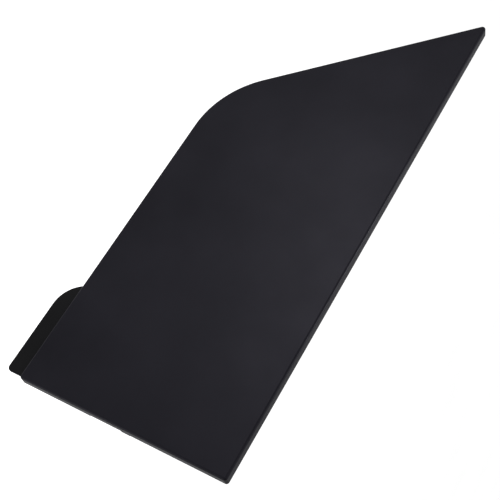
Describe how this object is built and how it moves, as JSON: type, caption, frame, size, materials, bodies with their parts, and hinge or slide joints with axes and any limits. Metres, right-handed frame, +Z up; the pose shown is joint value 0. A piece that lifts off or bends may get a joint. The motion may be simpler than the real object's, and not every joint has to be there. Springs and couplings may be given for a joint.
{
  "type": "kick plate",
  "caption": "Raked black plastic kick plate with a perimeter skirt, an overlap plate screwed behind one corner, and push-in clips, seals and foam pads at the back.",
  "frame": {"origin": "on the main locating pin's axis, in the plane of the skirt's rear rim", "axes": "+X along the long edge towards the square end, +Z up to the long edge, +Y back into the body the panel is clipped to; the face looks along -Y"},
  "size_m": [0.5841, 0.0296, 0.2609],
  "materials": {
    "panel_plastic": "satin, very fine grain",
    "plate_plastic": "matt, coarse grain",
    "screw_steel": "black phosphate",
    "clip_nylon": "natural nylon, slightly waxy",
    "seal_foam": "closed-cell foam",
    "pad_foam": "closed-cell foam with a cut skin"
  },
  "bodies": {
    "root": {"face_panel": "panel_plastic", "lap_plate": "plate_plastic", "lap_plate_screws": "screw_steel", "retaining_clip_1": "clip_nylon", "retaining_clip_2": "clip_nylon", "retaining_clip_3": "clip_nylon", "retaining_clip_4": "clip_nylon", "retaining_clip_5": "clip_nylon", "retaining_clip_6": "clip_nylon", "retaining_clip_7": "clip_nylon", "clip_seal_1": "seal_foam", "clip_seal_2": "seal_foam", "clip_seal_3": "seal_foam", "clip_seal_4": "seal_foam", "clip_seal_5": "seal_foam", "clip_seal_6": "seal_foam", "clip_seal_7": "seal_foam", "foam_pad_1": "pad_foam", "foam_pad_2": "pad_foam", "foam_pad_3": "pad_foam"}
  },
  "joints": []
}
